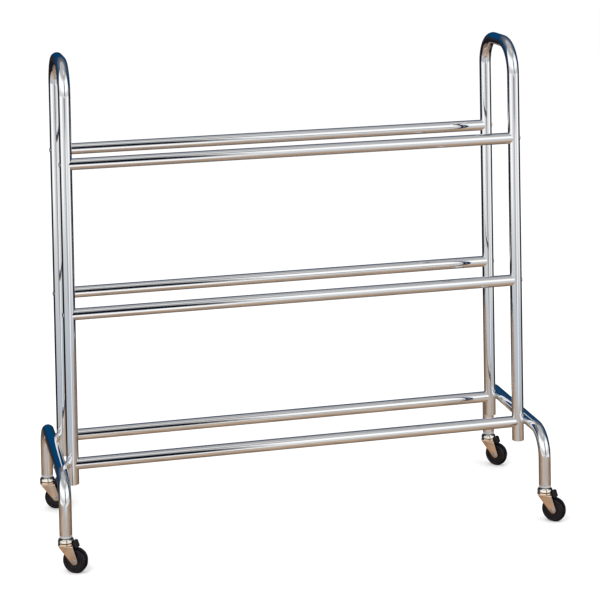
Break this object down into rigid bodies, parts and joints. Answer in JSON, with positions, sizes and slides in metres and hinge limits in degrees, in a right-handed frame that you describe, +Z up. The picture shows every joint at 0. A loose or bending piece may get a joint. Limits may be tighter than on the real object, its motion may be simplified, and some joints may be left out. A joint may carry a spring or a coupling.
{
  "type": "saddle rack",
  "caption": "Mobile tiered saddle rack: chromed tube end arches joined by paired round rails, on wider arched feet with swivel stem casters.",
  "frame": {"origin": "on the floor plane, midway between the four swivel axes", "axes": "+Z up; +X along the rails, towards the right end; -Y is the front"},
  "size_m": [1.3442, 0.5225, 1.274],
  "materials": {
    "chrome_tube": "polished chrome plate",
    "chrome_fittings": "polished chrome plate",
    "caster_chrome": "bright plated pressed steel",
    "zinc": "satin zinc plate",
    "caster_steel": "bright steel",
    "wheel_black": "hard black rubber, slight sheen",
    "guard_black": "moulded, low sheen"
  },
  "bodies": {
    "frame": {"end_arch_left": "chrome_tube", "end_arch_right": "chrome_tube", "rail_top_front": "chrome_tube", "rail_top_rear": "chrome_tube", "rail_middle_front": "chrome_tube", "rail_middle_rear": "chrome_tube", "rail_bottom_front": "chrome_tube", "rail_bottom_rear": "chrome_tube", "foot_arch_left": "chrome_tube", "foot_arch_right": "chrome_tube", "foot_saddles_left": "chrome_fittings", "foot_saddles_right": "chrome_fittings", "rail_bolts_left": "chrome_fittings", "rail_bolts_right": "chrome_fittings", "foot_bolts_left": "chrome_fittings", "foot_bolts_right": "chrome_fittings", "rail_nuts_left": "zinc", "rail_nuts_right": "zinc", "stem_socket_front_left": "zinc", "stem_socket_rear_left": "zinc", "stem_socket_front_right": "zinc", "stem_socket_rear_right": "zinc", "stem_front_left": "caster_steel", "stem_rear_left": "caster_steel", "stem_front_right": "caster_steel", "stem_rear_right": "caster_steel", "grip_ring_front_left": "caster_steel", "grip_ring_rear_left": "caster_steel", "grip_ring_front_right": "caster_steel", "grip_ring_rear_right": "caster_steel", "upper_race_front_left": "caster_chrome", "upper_race_rear_left": "caster_chrome", "upper_race_front_right": "caster_chrome", "upper_race_rear_right": "caster_chrome"},
    "swivel_front_left": {"race_balls_front_left": "caster_steel", "fork_front_left": "caster_chrome", "wheel_guard_front_left": "guard_black", "axle_front_left": "caster_steel"},
    "roller_front_left": {"wheel_front_left": "wheel_black", "wheel_bush_front_left": "caster_steel"},
    "swivel_rear_left": {"race_balls_rear_left": "caster_steel", "fork_rear_left": "caster_chrome", "wheel_guard_rear_left": "guard_black", "axle_rear_left": "caster_steel"},
    "roller_rear_left": {"wheel_rear_left": "wheel_black", "wheel_bush_rear_left": "caster_steel"},
    "swivel_front_right": {"race_balls_front_right": "caster_steel", "fork_front_right": "caster_chrome", "wheel_guard_front_right": "guard_black", "axle_front_right": "caster_steel"},
    "roller_front_right": {"wheel_front_right": "wheel_black", "wheel_bush_front_right": "caster_steel"},
    "swivel_rear_right": {"race_balls_rear_right": "caster_steel", "fork_rear_right": "caster_chrome", "wheel_guard_rear_right": "guard_black", "axle_rear_right": "caster_steel"},
    "roller_rear_right": {"wheel_rear_right": "wheel_black", "wheel_bush_rear_right": "caster_steel"}
  },
  "joints": [
    {"name": "swivel_turn_front_left", "type": "hinge", "parent": "frame", "child": "swivel_front_left", "pos_m": [-0.636, -0.2285, 0.075], "axis": [0, 0, 1], "continuous": true},
    {"name": "wheel_roll_front_left", "type": "hinge", "parent": "swivel_front_left", "child": "roller_front_left", "pos_m": [-0.61353, -0.23946, 0.032], "axis": [0.4384, 0.8988, 0], "continuous": true},
    {"name": "swivel_turn_rear_left", "type": "hinge", "parent": "frame", "child": "swivel_rear_left", "pos_m": [-0.636, 0.2285, 0.075], "axis": [0, 0, 1], "continuous": true},
    {"name": "wheel_roll_rear_left", "type": "hinge", "parent": "swivel_rear_left", "child": "roller_rear_left", "pos_m": [-0.61174, 0.22245, 0.032], "axis": [0.2419, 0.9703, 0], "continuous": true},
    {"name": "swivel_turn_front_right", "type": "hinge", "parent": "frame", "child": "swivel_front_right", "pos_m": [0.636, -0.2285, 0.075], "axis": [0, 0, 1], "continuous": true},
    {"name": "wheel_roll_front_right", "type": "hinge", "parent": "swivel_front_right", "child": "roller_front_right", "pos_m": [0.65543, -0.24423, 0.032], "axis": [0.6293, 0.7771, 0], "continuous": true},
    {"name": "swivel_turn_rear_right", "type": "hinge", "parent": "frame", "child": "swivel_rear_right", "pos_m": [0.636, 0.2285, 0.075], "axis": [0, 0, 1], "continuous": true},
    {"name": "wheel_roll_rear_right", "type": "hinge", "parent": "swivel_rear_right", "child": "roller_rear_right", "pos_m": [0.65428, 0.21145, 0.032], "axis": [0.682, 0.7314, 0], "continuous": true}
  ]
}
